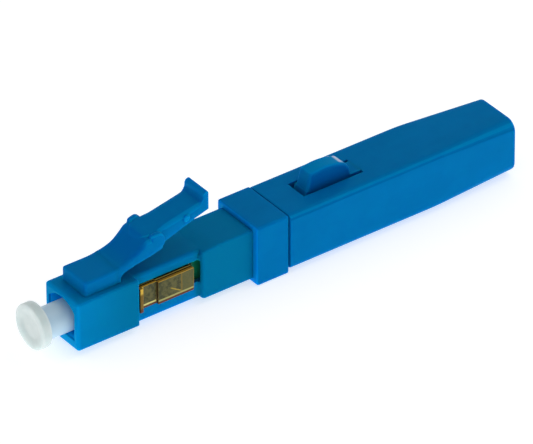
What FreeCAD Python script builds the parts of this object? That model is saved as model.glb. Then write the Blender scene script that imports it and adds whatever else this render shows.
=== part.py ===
import FreeCAD, Part
import math
import os
from FreeCAD import Vector

# Field-installable fibre connector, in millimetres.
# +X runs along the fibre axis from the plug's nose to the tail, -Y is the side with the window
# and +Z is up. The origin is the middle of the plug's front face, on the fibre axis.

# Plug housing: nose block, waisted bay with the window, rear block
PLUG_WIDTH = 4.5
PLUG_HEIGHT = 4.5
NOSE_LENGTH = 6.05
BAY_LENGTH = 6.45
BAY_DEPTH = 0.57
BAY_EDGE = 0.25
REAR_LENGTH = 5.15
REAR_WIDTH = 4.3
REAR_HEIGHT = 4.65
PLUG_EDGE = 0.2
MOUTH_WALL = 0.48
MOUTH_FLOOR = 0.78
MOUTH_ROOF = 0.28
MOUTH_SHOULDER = 1.05
BULKHEAD = 0.6
BAY_WALL = 0.43
CAVITY_FLOOR = 0.6
WINDOW_TOP = 1.38
WINDOW_BOTTOM = -0.8
WINDOW_NOTCH = 0.17
WINDOW_RUN = 0.55
WINDOW_CORNER = 0.35

# Latch: root block on the nose, spring arm with two lugs, thumb lip
LATCH_FRONT = 1.3
LATCH_ROOT_LENGTH = 3.35
LATCH_WIDTH = 3.3
LATCH_ROOT_HEIGHT = 1.22
LATCH_SLIT = 0.36
LATCH_EDGE = 0.15
RAMP_LENGTH = 3.35
LUG_LENGTH = 0.93
LUG_SPAN = 4.2
LUG_RISE = 3.08
LUG_WALL = 0.46
LUG_THICKNESS = 0.73
LEVER_LENGTH = 4.87
ARM_RISE = 3.15
ARM_WIDTH = 2.76
ARM_THICKNESS = 1.12
ARM_SLOPE = 11.6
TIP_CHAMFER = 1.33
TIP_HEIGHT = 1.62
LIP_THICKNESS = 0.65
LIP_BLEND = 0.45
PIP_DIAMETER = 0.5
PIP_HEIGHT = 0.12
PIP_SETBACK = 2.3

# Ferrule, fibre stub and dust cap
FERRULE_DIAMETER = 1.25
FERRULE_LENGTH = 6.5
FERRULE_CHAMFER = 0.25
FIBRE_DIAMETER = 0.125
CAP_NOSE = 1.33
CAP_HEAD_DIAMETER = 4.1
CAP_HEAD_THICKNESS = 0.9
CAP_HEAD_RISE = 0.22
CAP_HEAD_EDGE = 0.15
CAP_DISH_DIAMETER = 3.2
CAP_DISH_DEPTH = 0.22
CAP_DISH_SLOPE = 0.5
CAP_ROOM = 0.37
CAP_GAP = 0.3
CAP_FIT = 0.04
CAP_AIR = 0.12

# Flange that holds the ferrule against the bulkhead
FLANGE_NOSE_DIAMETER = 2.0
FLANGE_NOSE_LENGTH = 1.2
FLANGE_SEAT = 0.07
FLANGE_THICKNESS = 0.8
FLANGE_ROOM = 0.2
FLANGE_CLEARANCE = 0.08
SPIGOT_FIT = 0.03

# Mechanical splice behind the ferrule, which floats with it
FLOAT_TRAVEL = 0.35
SPLICE_SPIGOT_DIAMETER = 1.4
SPLICE_FIT = 0.13
SPLICE_HEAD = 0.9
CHANNEL_LEAD = 0.15
CHANNEL_HEIGHT = 1.5
REAR_HEAD = 1.05
GUIDE_FIT = 0.12
GUIDE_REACH = 0.3
GUIDE_BORE = 0.4
FUNNEL_RIM = 0.15
FUNNEL_LENGTH = 2.0
PLATE_CLEARANCE = 0.05
PLATE_GROOVE = 0.2
PLATE_GROOVE_DEPTH = 0.4
PLATE_GROOVE_PLACE = 4.0
CLIP_THICKNESS = 0.13
CLIP_LENGTH = 4.4
CLIP_HOOK = 0.34
CLIP_CLEARANCE = 0.02
CLIP_ROOM = 0.06

# Amber slider that locks the splice, seen in the window
SLIDER_TRAVEL = 0.4
SLIDER_HEADROOM = 0.24
SLIDER_PANEL = 0.18
SLIDER_PROUD = 0.44
SLIDER_STEP = 1.8
SLIDER_LIP = 0.33
SLIDER_FOOT_LENGTH = 0.35
SLIDER_FOOT_DROP = 0.7
SLIDER_FLANGE = 0.1
SLIDER_CLEARANCE = 0.06
SLIDER_GROOVE = 0.16

# Spring that pushes the splice and ferrule forward
SPRING_DIAMETER = 2.0
SPRING_WIRE = 0.26
SPRING_TURNS = 4.5
SPRING_FACETS = 6
SPRING_GAP = 0.02

# Rear body: spigot in the housing, collar, toothed cable trough
SPIGOT_LENGTH = 2.75
SPIGOT_WALL = 0.3
SPRING_POCKET_DEPTH = 1.7
COLLAR_LENGTH = 3.25
COLLAR_WIDTH = 5.54
COLLAR_HEIGHT = 5.58
COLLAR_EDGE = 0.25
COLLAR_RIM = 0.12
BORE_FIT = 0.1
LAND_ROOM = 0.57
CABLE_WIDTH = 3.1
CABLE_HEIGHT = 2.0
CABLE_FIT = 0.1
CABLE_RISE = 0.4
TROUGH_WALL = 0.58
TROUGH_FLOOR = 0.69
TROUGH_ROOM = 2.97
CLAMP_START = 5.0
TOOTH_PITCH = 0.9
TOOTH_DEPTH = 0.25
TOOTH_COUNT = 9
FIBRE_SLOT = 1.3
FLOOR_SLIT = 0.6

# Tail sleeve and its press tab
SLEEVE_GAP = 0.1
SLEEVE_LENGTH = 23.87
SLEEVE_WALL = 0.65
SLEEVE_ROOF = 0.75
SLEEVE_FIT = 0.12
SLEEVE_EDGE = 0.55
TAPER_LENGTH = 9.6
TAPER_BLEND = 2.2
TAIL_WIDTH = 5.1
TAIL_TOP = 2.42
TAIL_BOTTOM = -2.3
TAIL_EDGE = 0.95
TAIL_WALL = 1.2
BORE_RUNOUT = 3.2
TAB_FRONT = 3.0
TAB_LENGTH = 5.8
TAB_WIDTH = 1.66
TAB_GAP = 0.33
TAB_SIDE_GAP = 0.32
TAB_ROOM = 0.67
PAD_SETBACK = 1.08
PAD_HEIGHT = 1.42
PAD_LEAN = 0.65
PAD_CROWN = 0.24
PAD_FALL = 0.16
PAD_HEEL = 0.71
PAD_HEEL_BULGE = 0.39
PAD_EDGE = 0.3

# Stations along the axis
BAY_START = NOSE_LENGTH
BAY_END = BAY_START + BAY_LENGTH
HOUSING_END = BAY_END + REAR_LENGTH
LATCH_SPLIT = LATCH_FRONT + LATCH_ROOT_LENGTH
LUG_FRONT = LATCH_SPLIT + RAMP_LENGTH
LUG_REAR = LUG_FRONT + LUG_LENGTH
LATCH_TIP = LUG_REAR + LEVER_LENGTH
CHANNEL_START = BAY_START + CHANNEL_LEAD
SLIDER_FRONT = CHANNEL_START + SLIDER_CLEARANCE
SLIDER_REAR = BAY_END - FLOAT_TRAVEL - SLIDER_TRAVEL - SLIDER_CLEARANCE
CHANNEL_END = SLIDER_REAR + SLIDER_TRAVEL + SLIDER_CLEARANCE
SPLICE_END = CHANNEL_END + REAR_HEAD
FLANGE_BACK = CHANNEL_START - SPLICE_HEAD
SEAT = FLANGE_BACK - FLANGE_THICKNESS
MOUTH_END = SEAT - BULKHEAD
FERRULE_TIP = SEAT - FERRULE_LENGTH
CAP_FRONT = FERRULE_TIP - CAP_NOSE
CAP_END = SEAT - FLANGE_NOSE_LENGTH - CAP_GAP
SPIGOT_FRONT = HOUSING_END - SPIGOT_LENGTH
SPRING_SEAT = SPIGOT_FRONT + SPRING_POCKET_DEPTH
GUIDE_END = SPRING_SEAT + GUIDE_REACH
COLLAR_END = HOUSING_END + COLLAR_LENGTH
SLEEVE_FRONT = COLLAR_END + SLEEVE_GAP
SLEEVE_END = SLEEVE_FRONT + SLEEVE_LENGTH
BORE_END = SLEEVE_END - TAPER_LENGTH + BORE_RUNOUT
TROUGH_END = BORE_END - TROUGH_ROOM
TAB_X = SLEEVE_FRONT + TAB_FRONT
TAB_ROOT = TAB_X + TAB_LENGTH
LAND_END = TAB_X - TAB_GAP - LAND_ROOM

# Sections that several pieces share
PLUG_TOP = PLUG_HEIGHT / 2
BAY_FACE = PLUG_WIDTH / 2 - BAY_DEPTH
CAVITY_WIDTH = 2 * (BAY_FACE - BAY_WALL)
CAVITY_HEIGHT = PLUG_HEIGHT - 2 * CAVITY_FLOOR
MOUTH_WIDTH = PLUG_WIDTH - 2 * MOUTH_WALL
LATCH_TOP = PLUG_TOP + LATCH_ROOT_HEIGHT
CHANNEL_BACK = CAVITY_WIDTH / 2 - CLIP_ROOM - CLIP_THICKNESS
HOOK_FACE = -CAVITY_WIDTH / 2 + CLIP_ROOM + CLIP_THICKNESS
SLIDER_INNER = HOOK_FACE + CLIP_CLEARANCE + SLIDER_FLANGE
CHANNEL_FRONT = SLIDER_INNER + SLIDER_CLEARANCE
SPLICE_WIDTH = CAVITY_WIDTH - 2 * SPLICE_FIT
SPLICE_HEIGHT = CAVITY_HEIGHT - 2 * (CLIP_ROOM + CLIP_THICKNESS + CLIP_CLEARANCE)
GUIDE_DIAMETER = SPRING_DIAMETER - SPRING_WIRE - 2 * GUIDE_FIT
BODY_BORE = GUIDE_DIAMETER + 2 * BORE_FIT
SPRING_POCKET = SPRING_DIAMETER + SPRING_WIRE + 2 * GUIDE_FIT
SPIGOT_WIDTH = SPRING_POCKET + 2 * SPIGOT_WALL
CABLE_SLOT = CABLE_WIDTH + CABLE_FIT
CABLE_FLOOR = -(CABLE_HEIGHT + CABLE_FIT) / 2
TROUGH_TOP = CABLE_HEIGHT / 2 + CABLE_RISE
TROUGH_WIDTH = CABLE_SLOT + 2 * TROUGH_WALL
TROUGH_BOTTOM = CABLE_FLOOR - TROUGH_FLOOR
BORE_WIDTH = TROUGH_WIDTH + 2 * SLEEVE_FIT
BORE_TOP = TROUGH_TOP + TAB_ROOM
BORE_BOTTOM = TROUGH_BOTTOM - SLEEVE_FIT
SLEEVE_WIDTH = BORE_WIDTH + 2 * SLEEVE_WALL
SLEEVE_TOP = BORE_TOP + SLEEVE_ROOF
SLEEVE_BOTTOM = BORE_BOTTOM - SLEEVE_WALL


def span(x0, x1, y0, y1, z0, z1):
    """Block between two corners."""
    return Part.makeBox(x1 - x0, y1 - y0, z1 - z0, Vector(x0, y0, z0))


def bar(x0, x1, width, height):
    """Block along the fibre axis, centred on it."""
    return span(x0, x1, -width / 2, width / 2, -height / 2, height / 2)


def rod(x0, x1, diameter):
    """Round bar along the fibre axis."""
    return Part.makeCylinder(diameter / 2, x1 - x0, Vector(x0, 0, 0), Vector(1, 0, 0))


def along_x(edge):
    """True for a straight edge that runs along the fibre axis."""
    size = edge.BoundBox
    return size.XLength > 0.01 and size.YLength < 1e-6 and size.ZLength < 1e-6


def at_x(edge, x):
    """True for an edge that lies in the plane across the axis at x."""
    return abs(edge.BoundBox.XMin - x) < 1e-6 and abs(edge.BoundBox.XMax - x) < 1e-6


def round_edges(shape, radius, wanted):
    """Fillet the edges that the test picks."""
    return shape.makeFillet(radius, [edge for edge in shape.Edges if wanted(edge)])


def bevel_edges(shape, size, wanted):
    """Chamfer the edges that the test picks."""
    return shape.makeChamfer(size, [edge for edge in shape.Edges if wanted(edge)])


def side_prism(width, start, *legs):
    """Solid from an outline in the XZ plane, made symmetrical about the axis plane.

    A leg is an end point, or a middle and an end point for an arc.
    """
    def point(x, z):
        return Vector(x, -width / 2, z)

    edges = []
    last = start
    for leg in legs + (start,):
        if isinstance(leg[0], tuple):
            edges.append(Part.Arc(point(*last), point(*leg[0]), point(*leg[1])).toShape())
            last = leg[1]
        else:
            edges.append(Part.makeLine(point(*last), point(*leg)))
            last = leg
    return Part.Face(Part.Wire(edges)).extrude(Vector(0, width, 0))


def arc_middle(start, end, bulge):
    """Middle of an arc in the XZ plane that stands off its chord, on the left of the way along it."""
    run = end[0] - start[0]
    rise = end[1] - start[1]
    share = bulge / math.hypot(run, rise)
    return (start[0] + end[0]) / 2 - rise * share, (start[1] + end[1]) / 2 + run * share


def plan_prism(z0, z1, points):
    """Solid from a straight-sided outline in plan."""
    corners = [Vector(x, y, z0) for x, y in points]
    return Part.Face(Part.makePolygon(corners + corners[:1])).extrude(Vector(0, 0, z1 - z0))


def rounded_section(x, width, bottom, top, radius):
    """Rectangle with round corners, across the axis at x."""
    w = width / 2
    r = radius
    k = r * (1 - math.sqrt(0.5))

    def line(y0, z0, y1, z1):
        return Part.makeLine(Vector(x, y0, z0), Vector(x, y1, z1))

    def corner(y0, z0, ym, zm, y1, z1):
        return Part.Arc(Vector(x, y0, z0), Vector(x, ym, zm), Vector(x, y1, z1)).toShape()

    return Part.Wire([
        line(-w + r, bottom, w - r, bottom),
        corner(w - r, bottom, w - k, bottom + k, w, bottom + r),
        line(w, bottom + r, w, top - r),
        corner(w, top - r, w - k, top - k, w - r, top),
        line(w - r, top, -w + r, top),
        corner(-w + r, top, -w + k, top - k, -w, top - r),
        line(-w, top - r, -w, bottom + r),
        corner(-w, bottom + r, -w + k, bottom + k, -w + r, bottom),
    ])


def latch_root():
    """Block on the nose that the latch arm grows out of."""
    foot = PLUG_TOP - PLUG_EDGE
    block = span(LATCH_FRONT, LATCH_SPLIT, -LATCH_WIDTH / 2, LATCH_WIDTH / 2, foot, LATCH_TOP)

    def outer(edge):
        upright = edge.BoundBox.ZLength > 0.01 and at_x(edge, LATCH_FRONT)
        top = edge.BoundBox.ZMin > LATCH_TOP - 1e-6 and not at_x(edge, LATCH_SPLIT)
        return upright or top

    return bevel_edges(block, LATCH_EDGE, outer)


def mouth():
    """Opening in the nose: flat floor, straight sides, shallow arched roof."""
    half = MOUTH_WIDTH / 2
    floor = -PLUG_HEIGHT / 2 + MOUTH_FLOOR
    shoulder = PLUG_TOP - MOUTH_SHOULDER
    left = Vector(0, -half, shoulder)
    right = Vector(0, half, shoulder)
    roof = Part.Arc(left, Vector(0, 0, PLUG_TOP - MOUTH_ROOF), right).toShape()
    rest = Part.makePolygon([right, Vector(0, half, floor), Vector(0, -half, floor), left])
    return Part.Face(Part.Wire([roof] + rest.Edges)).extrude(Vector(MOUTH_END, 0, 0))


def window():
    """Cut in the near wall that shows the slider. It nicks the rear block's face and runs on behind it."""
    outer = BAY_FACE + WINDOW_NOTCH
    rear = BAY_END + WINDOW_RUN
    cut = span(BAY_START, rear, -outer, -CAVITY_WIDTH / 2 + BAY_WALL, WINDOW_BOTTOM, WINDOW_TOP)

    def rear_top(edge):
        return at_x(edge, rear) and edge.BoundBox.ZMin > WINDOW_TOP - 1e-6

    return round_edges(cut, WINDOW_CORNER, rear_top)


def plug_housing():
    """Moulded plug body with the latch root on its nose."""
    nose = bar(0, NOSE_LENGTH, PLUG_WIDTH, PLUG_HEIGHT)
    nose = round_edges(nose, PLUG_EDGE, lambda edge: along_x(edge) or at_x(edge, 0))
    bay = bar(NOSE_LENGTH / 2, BAY_END + REAR_LENGTH / 2, 2 * BAY_FACE, PLUG_HEIGHT)
    bay = round_edges(bay, BAY_EDGE, along_x)
    rear = round_edges(bar(BAY_END, HOUSING_END, REAR_WIDTH, REAR_HEIGHT), PLUG_EDGE, along_x)
    body = nose.fuse([bay, rear, latch_root()]).removeSplitter()
    hollows = [
        mouth(),
        rod(0, SEAT + BULKHEAD, FLANGE_NOSE_DIAMETER + 2 * FLANGE_CLEARANCE),
        bar(SEAT, SPIGOT_FRONT + BULKHEAD, CAVITY_WIDTH, CAVITY_HEIGHT),
        bar(SPIGOT_FRONT, HOUSING_END, SPIGOT_WIDTH, CAVITY_HEIGHT),
        window(),
    ]
    return body.cut(hollows)


def latch_lever():
    """Spring arm: a ramp up from the root, two lugs, a sloping arm and a thumb lip."""
    rise = math.tan(math.radians(ARM_SLOPE))
    lug_top = PLUG_TOP + LUG_RISE
    crown = PLUG_TOP + ARM_RISE
    under = PLUG_TOP + LATCH_SLIT

    def arm_top(x):
        return crown + rise * (x - LUG_FRONT)

    def ramp_from(high):
        """Arc from a height at the front of the lugs down to the root, which it meets level."""
        climb = high - LATCH_TOP
        radius = (RAMP_LENGTH ** 2 + climb ** 2) / (2 * climb)
        half_turn = math.asin(RAMP_LENGTH / radius) / 2
        middle = (
            LATCH_SPLIT + radius * math.sin(half_turn),
            LATCH_TOP + radius * (1 - math.cos(half_turn)),
        )
        return middle, (LATCH_SPLIT, LATCH_TOP)

    # The wings widen along a lower ramp, up to a lug on each side with an upright front wall.
    lug_under = lug_top - LUG_THICKNESS
    lug_foot = lug_top - LUG_WALL
    wing_rise = (lug_under - under) / (LUG_REAR - LATCH_SPLIT)
    wing_end = (LUG_FRONT, under + wing_rise * RAMP_LENGTH)
    knee = LATCH_SPLIT + (arm_top(LATCH_SPLIT) - ARM_THICKNESS - under) / (wing_rise - rise)
    wings = side_prism(
        LUG_SPAN,
        (LATCH_SPLIT, under),
        wing_end,
        (LUG_FRONT, lug_foot),
        ramp_from(lug_foot),
    )
    plan = plan_prism(under, lug_foot, [
        (LATCH_SPLIT, -LATCH_WIDTH / 2),
        (LUG_FRONT, -LUG_SPAN / 2),
        (LUG_FRONT, LUG_SPAN / 2),
        (LATCH_SPLIT, LATCH_WIDTH / 2),
    ])
    lugs = side_prism(
        LUG_SPAN,
        wing_end,
        (LUG_REAR, lug_under),
        (LUG_REAR, lug_top),
        (LUG_FRONT, lug_top),
    )

    # The thumb lip stands up at the tip, with an arc that runs into the top of the arm.
    heel = LATCH_TIP - TIP_CHAMFER
    tip_low = arm_top(heel) - ARM_THICKNESS + 2 * TIP_CHAMFER * rise
    lip_end = tip_low + TIP_HEIGHT - LIP_THICKNESS / 2
    lip = LATCH_TIP - LIP_THICKNESS
    slope = math.radians(ARM_SLOPE)
    blend_x = lip - LIP_BLEND
    blend_z = arm_top(blend_x) + LIP_BLEND / math.cos(slope)

    def on_blend(angle):
        return blend_x + LIP_BLEND * math.sin(angle), blend_z - LIP_BLEND * math.cos(angle)

    arm = side_prism(
        ARM_WIDTH,
        (LATCH_SPLIT, under),
        (knee, under + wing_rise * (knee - LATCH_SPLIT)),
        (heel, arm_top(heel) - ARM_THICKNESS),
        (LATCH_TIP, tip_low),
        (LATCH_TIP, lip_end),
        ((lip + LIP_THICKNESS / 2, lip_end + LIP_THICKNESS / 2), (lip, lip_end)),
        on_blend(math.pi / 2),
        (on_blend(math.pi / 4 + slope / 2), on_blend(slope)),
        (LUG_FRONT, crown),
        ramp_from(crown),
    )

    def arm_rim(edge):
        return edge.BoundBox.YLength < 1e-6 and edge.BoundBox.XMin > LUG_FRONT - 1e-6

    def wing_rim(edge):
        return edge.BoundBox.YLength < LUG_SPAN / 2 and edge.BoundBox.XLength > 0.01

    def lug_rim(edge):
        return wing_rim(edge) or at_x(edge, LUG_REAR)

    arm = bevel_edges(arm, LATCH_EDGE, arm_rim)
    wings = bevel_edges(wings.common(plan), LATCH_EDGE, wing_rim)
    lugs = bevel_edges(lugs, LATCH_EDGE, lug_rim)
    pip_x = LATCH_TIP - PIP_SETBACK
    pip_z = arm_top(pip_x) - ARM_THICKNESS / 2
    pip_span = ARM_WIDTH + 2 * PIP_HEIGHT
    pips = Part.makeCylinder(
        PIP_DIAMETER / 2, pip_span, Vector(pip_x, -pip_span / 2, pip_z), Vector(0, 1, 0)
    )
    return wings.fuse([lugs, arm, pips]).removeSplitter()


def dust_cap():
    """Soft cap pushed over the ferrule: a stem and a dished finger disc."""
    back = CAP_FRONT + CAP_HEAD_THICKNESS
    head = rod(CAP_FRONT, back, CAP_HEAD_DIAMETER)
    head = bevel_edges(head, CAP_HEAD_EDGE, lambda edge: at_x(edge, CAP_FRONT) or at_x(edge, back))
    dish = Part.makeCone(
        CAP_DISH_DIAMETER / 2, CAP_DISH_DIAMETER / 2 - CAP_DISH_SLOPE, CAP_DISH_DEPTH,
        Vector(CAP_FRONT, 0, 0), Vector(1, 0, 0),
    )
    head = head.cut(dish)
    head.translate(Vector(0, 0, CAP_HEAD_RISE))
    stem = rod(back - CAP_HEAD_THICKNESS / 2, CAP_END, MOUTH_WIDTH - 2 * CAP_ROOM)
    bore = rod(FERRULE_TIP - CAP_AIR, CAP_END, FERRULE_DIAMETER + 2 * CAP_FIT)
    return head.fuse(stem).cut(bore).removeSplitter()


def ferrule():
    """Ceramic ferrule with a bevelled tip."""
    body = rod(FERRULE_TIP, SEAT, FERRULE_DIAMETER)
    body = bevel_edges(body, FERRULE_CHAMFER, lambda edge: at_x(edge, FERRULE_TIP))
    return body.cut(rod(FERRULE_TIP, SEAT, FIBRE_DIAMETER))


def fibre_stub():
    """Polished stub of fibre, from the ferrule's tip to the middle of the splice."""
    return rod(FERRULE_TIP, (CHANNEL_START + CHANNEL_END) / 2, FIBRE_DIAMETER)


def ferrule_flange():
    """Turned flange pressed on the ferrule. Its shoulder, with two flats, seats on the bulkhead."""
    diameter = FLANGE_NOSE_DIAMETER + 2 * (FLANGE_CLEARANCE + FLANGE_SEAT)
    flats = bar(SEAT, FLANGE_BACK, CAVITY_WIDTH - 2 * FLANGE_ROOM, diameter)
    shoulder = rod(SEAT, FLANGE_BACK, diameter).common(flats)
    body = shoulder.fuse(rod(SEAT - FLANGE_NOSE_LENGTH, SEAT, FLANGE_NOSE_DIAMETER))
    ferrule_bore = rod(SEAT - FLANGE_NOSE_LENGTH, SEAT, FERRULE_DIAMETER)
    socket = rod(SEAT, FLANGE_BACK, SPLICE_SPIGOT_DIAMETER + 2 * SPIGOT_FIT)
    return body.cut([ferrule_bore, socket]).removeSplitter()


def splice_base():
    """Channel with a V-groove for the two fibres, a head at each end and a guide tube behind."""
    half = SPLICE_WIDTH / 2
    tall = SPLICE_HEIGHT / 2
    walls = span(CHANNEL_START, CHANNEL_END, CHANNEL_FRONT, CHANNEL_BACK, -tall, tall)
    front = span(FLANGE_BACK, CHANNEL_START, CHANNEL_FRONT, half, -tall, tall)
    rear = span(CHANNEL_END, SPLICE_END, -half, half, -tall, tall)
    spigot = rod(SEAT, FLANGE_BACK, SPLICE_SPIGOT_DIAMETER)
    guide = rod(SPLICE_END, GUIDE_END, GUIDE_DIAMETER)
    body = walls.fuse([front, rear, spigot, guide])

    low = CHANNEL_HEIGHT / 2
    channel = span(CHANNEL_START, CHANNEL_END, -SPLICE_WIDTH, 0, -low, low)
    depth = FIBRE_DIAMETER / 2 * math.sqrt(2)
    groove = Part.Face(Part.makePolygon([
        Vector(CHANNEL_START, 0, -depth),
        Vector(CHANNEL_START, depth, 0),
        Vector(CHANNEL_START, 0, depth),
        Vector(CHANNEL_START, 0, -depth),
    ])).extrude(Vector(CHANNEL_END - CHANNEL_START, 0, 0))
    funnel = Part.makeCone(
        GUIDE_BORE / 2, GUIDE_DIAMETER / 2 - FUNNEL_RIM, FUNNEL_LENGTH,
        Vector(GUIDE_END - FUNNEL_LENGTH, 0, 0), Vector(1, 0, 0),
    )
    bores = [
        rod(SEAT, CHANNEL_START, FIBRE_DIAMETER),
        rod(CHANNEL_END, GUIDE_END, GUIDE_BORE),
        funnel,
    ]
    return body.cut([channel, groove] + bores).removeSplitter()


def clamp_plate():
    """Plate in the channel that presses the fibres into the groove, in two lengths."""
    low = CHANNEL_HEIGHT / 2 - PLATE_CLEARANCE
    x0 = CHANNEL_START + PLATE_CLEARANCE
    x1 = CHANNEL_END - PLATE_CLEARANCE
    plate = span(x0, x1, CHANNEL_FRONT, -FIBRE_DIAMETER / 2, -low, low)
    cut = x0 + PLATE_GROOVE_PLACE
    deep = -FIBRE_DIAMETER / 2 - PLATE_GROOVE_DEPTH
    return plate.cut(span(cut, cut + PLATE_GROOVE, deep, 0, -low, low))


def splice_clip():
    """Spring clip of strip steel round the channel. Its ends hook over the slider's flange."""
    x0 = (CHANNEL_START + CHANNEL_END - CLIP_LENGTH) / 2
    x1 = x0 + CLIP_LENGTH
    inner = SPLICE_HEIGHT / 2 + CLIP_CLEARANCE
    outer = inner + CLIP_THICKNESS
    back = CHANNEL_BACK + CLIP_THICKNESS
    strip = span(x0, x1, HOOK_FACE - CLIP_THICKNESS, back, -outer, outer)
    strip = round_edges(strip, CLIP_THICKNESS, along_x)
    inside = span(x0, x1, HOOK_FACE, CHANNEL_BACK, -inner, inner)
    throat = outer - CLIP_HOOK
    return strip.cut([inside, span(x0, x1, 2 * HOOK_FACE, HOOK_FACE, -throat, throat)])


def lock_slider():
    """Clear amber slider: flange inside the wall, panel that hangs over the sill, raised thumb pad."""
    x0 = SLIDER_FRONT
    x1 = SLIDER_REAR
    step = x0 + SLIDER_STEP
    foot_end = x0 + SLIDER_FOOT_LENGTH
    top = WINDOW_TOP - SLIDER_HEADROOM
    low = WINDOW_BOTTOM + SLIDER_CLEARANCE
    apron = low - SLIDER_LIP
    tall = SPLICE_HEIGHT / 2
    wall = -BAY_FACE - SLIDER_CLEARANCE
    panel_face = -BAY_FACE - SLIDER_PANEL
    pad_face = -BAY_FACE - SLIDER_PROUD
    flange = span(x0, x1, SLIDER_INNER - SLIDER_FLANGE, SLIDER_INNER, -tall, tall)
    panel = span(x0, x1, panel_face, SLIDER_INNER, low, top)
    skirt = span(x0, x1, panel_face, wall, apron, low)
    pad = span(step, x1, pad_face, panel_face, apron, top)
    foot = span(x0, foot_end, pad_face, wall, low - SLIDER_FOOT_DROP, top)
    body = flange.fuse([panel, skirt, pad, foot]).removeSplitter()
    x_groove = CHANNEL_START + PLATE_CLEARANCE + PLATE_GROOVE_PLACE
    groove = span(x_groove, x_groove + SLIDER_GROOVE, panel_face, SLIDER_INNER, low, top)
    return body.cut(groove)


def float_spring():
    """Coil spring between the splice and its seat in the rear body."""
    x0 = SPLICE_END + SPRING_GAP + SPRING_WIRE / 2
    x1 = SPRING_SEAT - SPRING_GAP - SPRING_WIRE / 2
    helix = Part.makeHelix((x1 - x0) / SPRING_TURNS, x1 - x0, SPRING_DIAMETER / 2)
    # The wire's section is a polygon across the helix, which keeps the coil to few faces.
    start = helix.Edges[0].firstVertex().Point
    along = helix.Edges[0].tangentAt(0)
    turn = FreeCAD.Rotation(along, 360 / SPRING_FACETS)
    spoke = Vector(SPRING_WIRE / 2, 0, 0)
    corners = [start + spoke]
    for _ in range(SPRING_FACETS):
        spoke = turn.multVec(spoke)
        corners.append(start + spoke)
    coil = Part.Wire(helix).makePipeShell([Part.makePolygon(corners)], True, True)
    coil.rotate(Vector(0, 0, 0), Vector(0, 1, 0), 90)
    coil.translate(Vector(x0, 0, 0))
    return coil


def rear_body():
    """Spigot and spring seat, collar, and the toothed trough that grips the cable's jacket."""
    collar = bar(HOUSING_END, COLLAR_END, COLLAR_WIDTH, COLLAR_HEIGHT)
    collar = round_edges(collar, COLLAR_EDGE, along_x)
    collar = bevel_edges(collar, COLLAR_RIM, lambda edge: at_x(edge, HOUSING_END) or at_x(edge, COLLAR_END))
    spigot = bar(SPIGOT_FRONT, HOUSING_END + COLLAR_RIM, SPIGOT_WIDTH, CAVITY_HEIGHT)
    side = TROUGH_WIDTH / 2
    root = COLLAR_END - COLLAR_RIM
    land = span(root, LAND_END, -side, side, TROUGH_BOTTOM, BORE_TOP - SLEEVE_FIT)
    trough = span(root, TROUGH_END, -side, side, TROUGH_BOTTOM, TROUGH_TOP)
    trough = bevel_edges(trough, 2 * SLEEVE_FIT, lambda edge: at_x(edge, TROUGH_END))
    body = collar.fuse([spigot, land, trough]).removeSplitter()

    clamp = COLLAR_END + CLAMP_START
    slot = CABLE_SLOT / 2
    cuts = [
        rod(SPIGOT_FRONT, SPRING_SEAT, SPRING_POCKET),
        rod(SPRING_SEAT, clamp, BODY_BORE),
        span(COLLAR_END, clamp, -FIBRE_SLOT / 2, FIBRE_SLOT / 2, 0, SLEEVE_TOP),
        span(clamp, TROUGH_END, -slot, slot, CABLE_FLOOR, SLEEVE_TOP),
        span(clamp + TOOTH_PITCH, TROUGH_END, -FLOOR_SLIT / 2, FLOOR_SLIT / 2, TROUGH_BOTTOM, CABLE_FLOOR),
    ]
    body = body.cut(cuts)

    teeth = []
    for index in range(TOOTH_COUNT):
        x0 = clamp + index * TOOTH_PITCH
        for sign in (-1, 1):
            teeth.append(plan_prism(CABLE_FLOOR, TROUGH_TOP, [
                (x0, sign * slot),
                (x0 + TOOTH_PITCH, sign * slot),
                (x0 + TOOTH_PITCH / 4, sign * (slot - TOOTH_DEPTH)),
            ]))
    return body.fuse(teeth).removeSplitter()


def tail_sleeve():
    """Sleeve pushed over the trough: straight in front, tapering to the cable port."""
    bend = SLEEVE_END - TAPER_LENGTH
    straight = (SLEEVE_WIDTH, SLEEVE_BOTTOM, SLEEVE_TOP, SLEEVE_EDGE)
    tail = (TAIL_WIDTH, TAIL_BOTTOM, TAIL_TOP, TAIL_EDGE)

    def section(along):
        # The taper leaves the straight part on a parabola and then runs straight to the tail.
        run = TAPER_LENGTH - TAPER_BLEND / 2
        if along < TAPER_BLEND:
            share = along ** 2 / (2 * TAPER_BLEND * run)
        else:
            share = (along - TAPER_BLEND / 2) / run
        sizes = [a + share * (b - a) for a, b in zip(straight, tail)]
        return rounded_section(bend + along, *sizes)

    front = Part.Face(rounded_section(SLEEVE_FRONT, *straight)).extrude(Vector(bend - SLEEVE_FRONT, 0, 0))
    stations = [0, TAPER_BLEND / 3, TAPER_BLEND * 2 / 3, TAPER_BLEND, TAPER_LENGTH]
    taper = Part.makeLoft([section(along) for along in stations], True, True)
    outside = front.fuse(taper).removeSplitter()

    side = BORE_WIDTH / 2
    port_width = CABLE_SLOT / 2
    port_top = -CABLE_FLOOR
    hollows = [
        span(SLEEVE_FRONT, BORE_END, -side, side, BORE_BOTTOM, BORE_TOP),
        span(BORE_END, SLEEVE_END - TAIL_WALL, -port_width - CABLE_FIT, port_width + CABLE_FIT,
             CABLE_FLOOR - CABLE_FIT, port_top + CABLE_FIT),
        span(SLEEVE_FRONT, SLEEVE_END, -port_width, port_width, CABLE_FLOOR, port_top),
    ]
    slot_half = TAB_WIDTH / 2 + TAB_SIDE_GAP
    slot = span(TAB_X - TAB_GAP, TAB_ROOT, -slot_half, slot_half, 0, SLEEVE_TOP)
    return outside.cut(hollows + [slot])


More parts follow.
